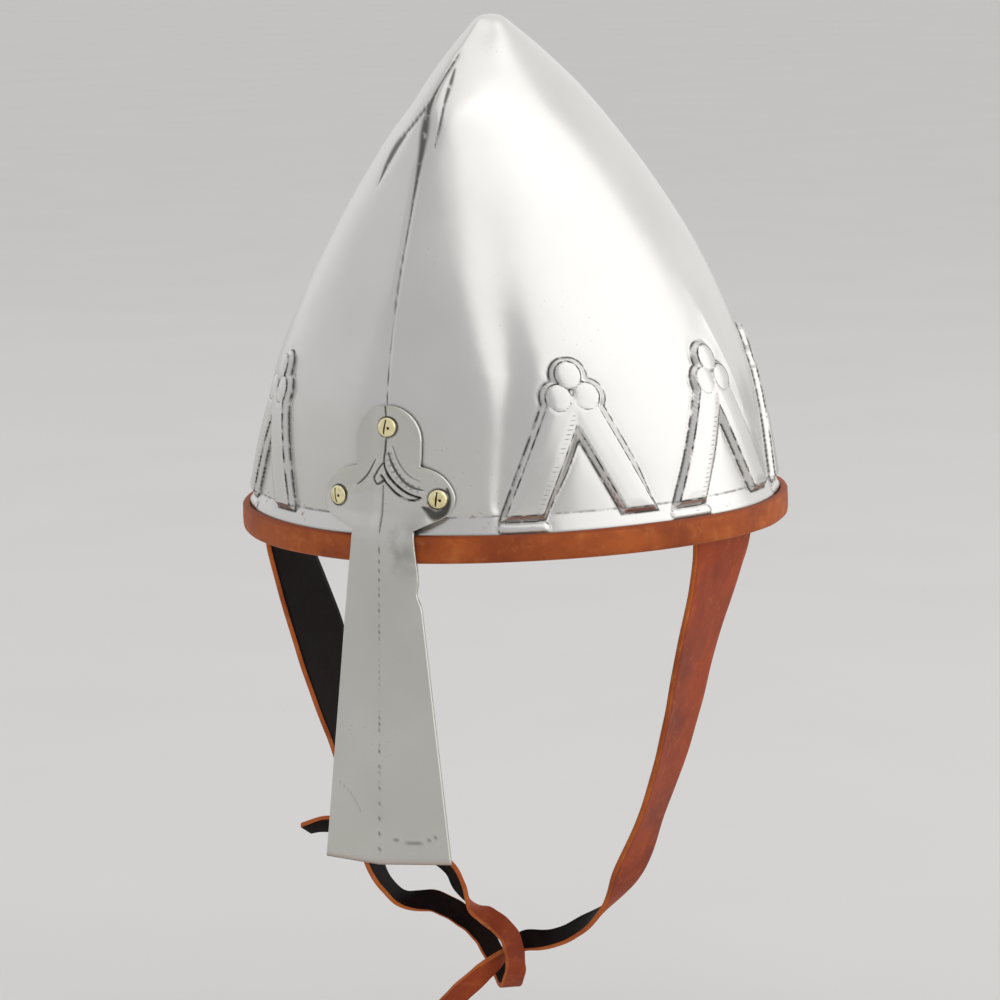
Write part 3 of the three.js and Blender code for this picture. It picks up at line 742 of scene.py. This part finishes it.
def nasal_marks(tree, place, patch, broken):
    """Scale in the chased lines, painted shade round the rivet heads, a darker cloudy patch at the top
    of the bar, and a yellow heat tint that the brazing left along the foot."""
    # The chased lines carry scale; the rings round the rivet heads carry painted shade.
    chased_and_shade = combine(tree, read_number(tree, "chased_and_shade"), ramp(tree, patch, 0.2, 0.4))
    spot = add_node(tree, "SeparateXYZ", {"Vector": place})
    height = spot.outputs["Z"]
    # A darker cloudy patch over the top of the bar, on the wearer's left.
    neck_patch = line_mask(tree, height, -4 * MM, 17 * MM)
    neck_patch = combine(tree, neck_patch, ramp(tree, spot.outputs["X"], 1 * MM, 5 * MM))
    cloud = add_node(tree, "TexNoise", {"Vector": place, "Scale": 120.0, "Detail": 4.0}).outputs["Fac"]
    neck_patch = combine(tree, neck_patch, ramp(tree, cloud, 0.42, 0.66, 0.34))
    heat = ramp(tree, height, (NASAL_FOOT + 2.5) * MM, (NASAL_FOOT + 0.4) * MM, 0.3)
    return combine(tree, chased_and_shade, neck_patch, "MAXIMUM"), heat


nasal = nasal_piece()
nasal.data.materials.append(buffed_steel("buffed_nasal_steel", "#DCDAD4", "#C9C7C0", nasal_marks))
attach(nasal, "root")
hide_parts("nasal")

# --- Rivets ---------------------------------------------------------------------------------------
# Three turned brass rivets hold the nasal: a low domed head with a filed slot and a punch mark,
# a plain shank, and a tail spread inside the shell.
RIVET_HEAD = 3.6
RIVET_SHANK = 1.7
DOME_RINGS = 24
DOME_HIGH = 1.6
RIVET_SIDES = 48
GAP = 0.3


def rivet_piece(name, x, z, turn):
    """One rivet, square to the shell where it stands."""
    seat, normal, stand = rivet_seat(x, z)
    base = stand + 0.1
    inside = -WALL - GAP - 0.15
    dome = np.linspace(0.16, RIVET_HEAD, DOME_RINGS)
    rings = [(r, base + DOME_HIGH * math.sqrt(1 - (r / (RIVET_HEAD + 0.12)) ** 2.4)) for r in dome]
    rings += [(RIVET_HEAD, base + 0.2), (RIVET_HEAD - 0.15, base)]
    rings += [(RIVET_SHANK, base), (RIVET_SHANK, inside)]
    rings += [(2.9, inside), (2.7, inside - 0.6), (1.6, inside - 1.1)]
    spread = np.linspace(0, 2 * np.pi, RIVET_SIDES, endpoint=False)
    points = [np.array([[0, 0, base + DOME_HIGH]])]
    slots = [np.zeros(1)]
    for index, (r, high) in enumerate(rings):
        u, v = r * np.cos(spread + turn), r * np.sin(spread + turn)
        on_dome = 1 if index < DOME_RINGS else 0
        slot = np.exp(-((u + 0.55) / 0.34) ** 4) * on_dome * smooth((3.1 - np.abs(v)) / 0.6)
        punch = np.exp(-(((u - 0.9) ** 2 + (v + 0.2) ** 2) / 0.36) ** 2) * on_dome
        mark = np.maximum(slot, punch)
        points.append(np.stack([r * np.cos(spread), r * np.sin(spread), high - 0.5 * mark], 1))
        slots.append(mark)
    points.append(np.array([[0, 0, inside - 1.2]]))
    slots.append(np.zeros(1))
    counts = [len(ring) for ring in points]
    piece = new_piece("brass_rivet_" + name, np.concatenate(points), ring_faces(counts))
    store(piece, "mark", np.concatenate(slots))
    frame_of = Vector(normal).to_track_quat("Z", "X").to_matrix().to_4x4()
    frame_of.translation = Vector(seat) * MM
    piece.data.transform(frame_of)
    return piece


def turned_brass():
    """Yellow brass turned and left to dull: warm bright metal, with painted shade in its slot and punch
    mark.
    """
    material, tree, shader, place = new_material("turned_brass")
    mark = read_number(tree, "mark")
    cloud = add_node(tree, "TexNoise", {"Vector": place, "Scale": 450.0, "Detail": 3.0}).outputs["Fac"]
    tarnish = ramp(tree, cloud, 0.45, 0.75, 0.5)
    # The slot and punch mark are coloured dark brown: painted shade in the recesses.
    dark = ramp(tree, mark, 0.25, 0.8)
    colour = tint_where(tree, tarnish, linear("#FAF0C0"), "#C79A4C")
    colour = tint_where(tree, dark, colour, "#3A2410")
    tree.links.new(colour, shader.inputs["Base Color"])
    shader.inputs["Metallic"].default_value = 1.0
    rough = add_node(tree, "MapRange", {"Value": cloud, "To Min": 0.16, "To Max": 0.4}).outputs[0]
    tree.links.new(rough, shader.inputs["Roughness"])
    bump = add_node(tree, "Bump", {"Height": cloud, "Strength": 0.25, "Distance": 0.1 * MM}).outputs[0]
    tree.links.new(bump, shader.inputs["Normal"])
    return material


brass = turned_brass()
for rivet_name, (rivet_x, rivet_z, rivet_turn) in RIVETS.items():
    rivet = rivet_piece(rivet_name, rivet_x, rivet_z, rivet_turn)
    rivet.data.materials.append(brass)
    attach(rivet, "root")
    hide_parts("rivet_" + rivet_name)

# --- Rim binding ----------------------------------------------------------------------------------
# One strip of tan leather folded under the rim and up the inside, so that the steel edge doesn't
# rub; its upper edge is a plain knife cut.
BINDING_OUT = 2.8
BINDING_IN = 2.0
BINDING_FOOT = -10.4


def binding_piece():
    """The folded strip: its section carried round the rim."""
    inner = -WALL - GAP - BINDING_IN
    outer = GAP + BINDING_OUT
    section = [
        (GAP, 0.0), (GAP + 0.5, 0.12), (outer - 0.9, 0.1), (outer - 0.3, -0.1), (outer, -0.6),
        (outer + 0.05, -3.0), (outer + 0.1, -5.5), (outer, -8.2), (outer - 0.25, -9.4),
        (outer - 1.1, -10.1), (outer - 2.4, BINDING_FOOT), (-1.0, BINDING_FOOT), (inner + 1.1, -10.2),
        (inner + 0.25, -9.5), (inner, -8.4), (inner, -5.0), (inner, -1.3), (inner + 0.4, -0.8),
        (-WALL - GAP, -0.8), (-WALL - GAP, SHELL_FOOT - GAP), (GAP, SHELL_FOOT - GAP),
    ]
    count = 420
    angle = np.linspace(0, 2 * np.pi, count, endpoint=False)
    foot = np.full(count, float(SHELL_FOOT))
    base, normal = shell_point(angle, foot), shell_normal(angle, foot)
    columns = []
    for out, z in section:
        wave = 0.12 * np.sin(angle * 9 + 1) + 0.08 * np.sin(angle * 23 + 2)
        ripple = wave * (1 if out > 1 else 0)
        column = base + normal * (out + ripple)[:, None]
        column[:, 2] = z + (0.18 * np.sin(angle * 7 + 0.5) if z > -1 and out > 0 else 0)
        columns.append(column)
    points = np.stack(columns, 1).reshape(-1, 3)
    size = len(section)
    faces = []
    for k in range(count):
        for j in range(size):
            a, b = k * size, ((k + 1) % count) * size
            faces.append((a + j, b + j, b + (j + 1) % size, a + (j + 1) % size))
    return new_piece("rim_binding_leather", points, faces)


def tanned_leather(name, main, deep, light, gloss, shadow_height=None):
    """Vegetable-tanned cowhide: soft sheen, 0.8 mm pebble grain, creases and handling marks. Above a
    given shadow height the colour darkens towards the deep tone: a painted shadow."""
    material, tree, shader, place = new_material(name)
    cloud = add_node(tree, "TexNoise", {"Vector": place, "Scale": 45.0, "Detail": 5.0, "Roughness": 0.6})
    cloud = cloud.outputs["Fac"]
    cells = {"Vector": place, "Scale": 1250.0, "Smoothness": 0.6}
    pebble = add_node(tree, "TexVoronoi", cells, feature="SMOOTH_F1").outputs["Distance"]
    fibre = add_node(tree, "TexNoise", {"Vector": place, "Scale": 2200.0, "Detail": 2.0}).outputs["Fac"]
    folds = {"Vector": place, "Scale": 160.0, "Detail": 6.0, "Roughness": 0.7, "Distortion": 0.6}
    crease = add_node(tree, "TexNoise", folds).outputs["Fac"]
    colour = tint_where(tree, ramp(tree, cloud, 0.32, 0.66), linear(deep), main)
    colour = tint_where(tree, ramp(tree, crease, 0.52, 0.72, 0.5), colour, light)
    colour = tint_where(tree, ramp(tree, fibre, 0.62, 0.74, 0.35), colour, deep)
    # Painted shadow: above the given height the colour darkens towards the deep tone, along the top edge
    # where the binding meets the steel.
    if shadow_height is not None:
        height = add_node(tree, "SeparateXYZ", {"Vector": place}).outputs["Z"]
        colour = tint_where(tree, ramp(tree, height, (shadow_height - 0.5) * MM, shadow_height * MM, 0.7), colour, deep)
    tree.links.new(colour, shader.inputs["Base Color"])
    rough = add_node(tree, "MapRange", {"Value": cloud, "To Min": 0.55, "To Max": 0.75}).outputs[0]
    tree.links.new(rough, shader.inputs["Roughness"])
    shader.inputs["Specular IOR Level"].default_value = gloss
    high = combine(tree, combine(tree, pebble, 0.5), combine(tree, crease, 1.2), "ADD")
    high = combine(tree, high, combine(tree, fibre, 0.2), "ADD")
    bump = add_node(tree, "Bump", {"Height": high, "Strength": 0.5, "Distance": 0.15 * MM}).outputs[0]
    tree.links.new(bump, shader.inputs["Normal"])
    return material


binding = binding_piece()
# The top edge of the binding carries a painted shadow where it meets the steel.
tan = tanned_leather("tan_binding_leather", "#B65A22", "#8E3E16", "#CC7C3E", 0.3, -0.4)
binding.data.materials.append(tan)
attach(binding, "root")
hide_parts("rim_binding")

# --- Chin strap -----------------------------------------------------------------------------------
# Two 2 mm leather ribbons, 40 mm wide where they are sewn inside the binding and cut down to
# 9 mm laces, hooked round each other below the chin with their ends left loose.
STRAP_THICK = 2
STRAP_STEPS = 12
# Each row holds a place, the direction across the ribbon there, and the ribbon's width.
STRAPS = {
    "right": np.array([
        (-95.2, -17, -1.5, -0.17, 1, 0, 40),
        (-94.6, -17, -13, -0.15, 1, 0, 41),
        (-91.4, -17, -26, -0.1, 1, 0, 42),
        (-81.5, -17, -55, 0, 1, 0, 41),
        (-75, -16.5, -79, 0, 1, 0, 37),
        (-67.5, -16, -103, 0, 1, 0, 32),
        (-63.5, -15, -128, 0, 1, 0, 22),
        (-60.5, -14, -150, -0.05, 1, 0.05, 14),
        (-55.5, -13, -160, -0.1, 1, 0.1, 11),
        (-48, -12, -165.5, -0.2, 0.9, 0.45, 9.5),
        (-35.5, -11, -165.5, -0.05, 0.45, 0.9, 9),
        (-26, -9, -170, 0.3, 0.6, 0.75, 9),
        (-18, -8, -176, 0.4, 0.75, 0.55, 9),
        (-12.5, -8, -183.5, 0.45, 0.85, 0.3, 9),
        (-7.5, -9, -192.5, 0.55, 0.85, 0.05, 8.5),
        (-0.5, -16.5, -195.5, 0.5, 0.85, -0.1, 8.5),
        (5.5, -24, -187.5, 0.45, 0.8, -0.4, 8.5),
        (5.5, -24.5, -179.5, 0.45, 0.9, 0, 9),
        (2.5, -24, -172.5, 0.35, 0.9, 0.35, 9),
        (-5.5, -23, -167, 0.05, 0.9, 0.45, 9),
        (-13.5, -21.5, -163.5, -0.35, 0.95, 0.05, 9),
        (-19.5, -20.5, -156, -0.7, 0.6, -0.35, 9),
        (-24.5, -20, -148.5, -0.65, 0.6, -0.45, 9),
        (-35.5, -19.5, -142.5, -0.55, 0.55, -0.65, 9),
        (-49.5, -19, -139, -0.45, 0.45, -0.75, 9),
        (-64.5, -18.5, -137, -0.4, 0.5, -0.8, 9),
        (-78.5, -18, -135.5, -0.35, 0.6, -0.7, 9),
        (-89, -17.5, -138, -0.4, 0.7, -0.55, 8),
    ]),
    "left": np.array([
        (95.2, -17, -1.5, 0.17, 1, 0, 40),
        (94.6, -17, -13, 0.15, 1, 0, 40),
        (91, -17, -29, 0.08, 1, 0, 39),
        (82.6, -17, -57, 0, 1, 0, 38),
        (77, -16.5, -79, 0, 1, 0, 34),
        (70, -16, -102, 0, 1, 0, 30),
        (61.5, -16, -124, 0, 1, 0, 26.5),
        (51.5, -16, -146.5, 0.1, 0.95, -0.25, 20),
        (42.5, -15.5, -160, -0.3, 0.9, -0.25, 12),
        (31, -15, -169, -0.6, 0.75, 0.2, 9.5),
        (18.5, -15, -175.5, -0.5, 0.75, 0.45, 9),
        (5.5, -15.5, -177.5, -0.3, 0.65, 0.7, 9),
        (-0.5, -17.5, -181.5, -0.1, 1, -0.2, 8.5),
        (-9, -22, -189.5, 0.3, 0.6, -0.7, 8.5),
        (-20, -22.5, -199.5, 0.35, 0.55, -0.75, 9),
        (-27, -22.5, -207.5, 0.45, 0.6, -0.7, 9),
        (-33, -22.5, -219.5, 0.55, 0.65, -0.5, 9),
    ]),
}


def strap_piece(name, stations, grain_side):
    """One ribbon, with its three skins on faces of their own: grain side, flesh side coloured as painted
    shade, and cut edge lightened partly as a painted highlight.
    """
    rows = np.vstack([2 * stations[0] - stations[1], stations, 2 * stations[-1] - stations[-2]])
    places = np.linspace(1, len(stations), (len(stations) - 1) * STRAP_STEPS + 1)
    row = curve_rows(rows, places)
    ahead, behind = curve_rows(rows, places + 0.02), curve_rows(rows, places - 0.02)
    along = ahead[:, :3] - behind[:, :3]
    along /= np.linalg.norm(along, axis=1, keepdims=True)
    across = row[:, 3:6] - along * (row[:, 3:6] * along).sum(1, keepdims=True)
    across /= np.linalg.norm(across, axis=1, keepdims=True)
    face = np.cross(along, across)
    half = STRAP_THICK / 2
    lanes = np.linspace(-1, 1, 15)
    upper = [(u, half, 1) for u in lanes]
    lower = [(u, -half, -1) for u in lanes[::-1]]
    section = upper + [(1, 0.5 * half, 0), (1, -0.5 * half, 0)]
    section += lower + [(-1, -0.5 * half, 0), (-1, 0.5 * half, 0)]
    rings = []
    for u, v, side in section:
        inset = 0.25 if side and abs(u) == 1 else 0
        reach = u * (row[:, 6] / 2 - inset)
        # Leather cups a little across its width, and the edges are not cut quite true.
        cup = 0.4 * (1 - u * u) * np.sin(places * 0.9) * smooth((row[:, 6] - 10) / 12)
        ragged = 0.12 * np.sin(places * 7.3 + 3 * u) * (abs(u) == 1)
        rings.append(row[:, :3] + across * (reach + ragged)[:, None] + face * (v + cup)[:, None])
    points = np.stack(rings, 1)
    steps, size = points.shape[:2]
    faces = [tuple(range(size)), tuple((steps - 1) * size + k for k in range(size))]
    skins = [2, 2]
    kinds = [side for _, _, side in section]
    for k in range(steps - 1):
        for j in range(size):
            n = (j + 1) % size
            faces.append((k * size + j, (k + 1) * size + j, (k + 1) * size + n, k * size + n))
            same = kinds[j] == kinds[n] and kinds[j] != 0
            skins.append((0 if kinds[j] == grain_side else 1) if same else 2)
    piece = new_piece(name, points.reshape(-1, 3), faces)
    piece.data.polygons.foreach_set("material_index", np.array(skins, dtype=np.int32))
    return piece


grain = tanned_leather("oiled_strap_leather", "#A4431A", "#7E2E10", "#BC6030", 0.3)
# The flesh side's near-black colour is painted shade.
flesh_shade = tanned_leather("flesh_side_painted_shade", "#180B08", "#0C0504", "#2C1610", 0.1)
# The cut edge's lighter colour is partly the raw cut's own and partly a painted highlight.
cut = tanned_leather("cut_edge_highlit_leather", "#C8682C", "#A04A1C", "#DB8A4A", 0.3)
for strap_name, grain_side in (("right", -1), ("left", 1)):
    strap = strap_piece("chin_strap_" + strap_name, STRAPS[strap_name], grain_side)
    for skin in (grain, flesh_shade, cut):
        strap.data.materials.append(skin)
    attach(strap, "root")
    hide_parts("strap_" + strap_name)

# --- Floor and light ------------------------------------------------------------------------------
# A pale floor below the hanging strap, a very broad soft box on the wearer's left, a weak one on
# the right and one above, in a light room.
FLOOR_REACH = 40.0
FLOOR_DROP = 0.03
floor_mesh = bpy.data.meshes.new("floor")
floor_corners = [(FLOOR_REACH * u, FLOOR_REACH * v, 0) for u, v in ((-1, -1), (1, -1), (1, 1), (-1, 1))]
floor_mesh.from_pydata(floor_corners, [], [(0, 1, 2, 3)])
floor = bpy.data.objects.new("floor", floor_mesh)
floor.location.z = cad_box[0][2] - FLOOR_DROP
bpy.context.scene.collection.objects.link(floor)
paint, tree, shader, place = new_material("pale_floor_paint")
speckle = add_node(tree, "TexNoise", {"Vector": place, "Scale": 6.0}).outputs["Fac"]
tree.links.new(tint_where(tree, speckle, linear("#D8D6D3"), "#DEDCDA"), shader.inputs["Base Color"])
shader.inputs["Roughness"].default_value = 0.8
floor.data.materials.append(paint)

# The room is paler behind the helmet than in front of it.
world = bpy.data.worlds.new("studio")
world.use_nodes = True
background = world.node_tree.nodes["Background"]
direction = add_node(world.node_tree, "TexCoord").outputs["Generated"]
behind = {0: direction, 1: (0.35, 0.9, 0.25)}
behind = add_node(world.node_tree, "VectorMath", behind, operation="DOT_PRODUCT").outputs["Value"]
behind = ramp(world.node_tree, behind, 0.0, 0.8)
pale = tint_where(world.node_tree, behind, linear("#C9CACC"), "#F4F4F4")
world.node_tree.links.new(pale, background.inputs["Color"])
background.inputs["Strength"].default_value = 1.04
bpy.context.scene.world = world


def soft_box(name, azimuth, elevation, distance, width, height, watts):
    """An area light that faces the helmet."""
    data = bpy.data.lights.new(name, "AREA")
    data.shape = "RECTANGLE"
    data.size, data.size_y = width, height
    data.energy = watts
    light = bpy.data.objects.new(name, data)
    a, e = math.radians(azimuth), math.radians(elevation)
    out = Vector((math.sin(a) * math.cos(e), -math.cos(a) * math.cos(e), math.sin(e)))
    light.location = out * distance + Vector((0, 0, 0.05))
    light.rotation_mode = "QUATERNION"
    light.rotation_quaternion = out.to_track_quat("Z", "Y")
    bpy.context.scene.collection.objects.link(light)


soft_box("key_box", 99, 25, 2.4, 4.0, 3.0, 23)
soft_box("fill_box", -95, 20, 2.4, 4.2, 3.0, 4)
soft_box("top_box", 80, 80, 2.2, 2.4, 2.4, 6)
bpy.context.scene.view_settings.view_transform = "Standard"
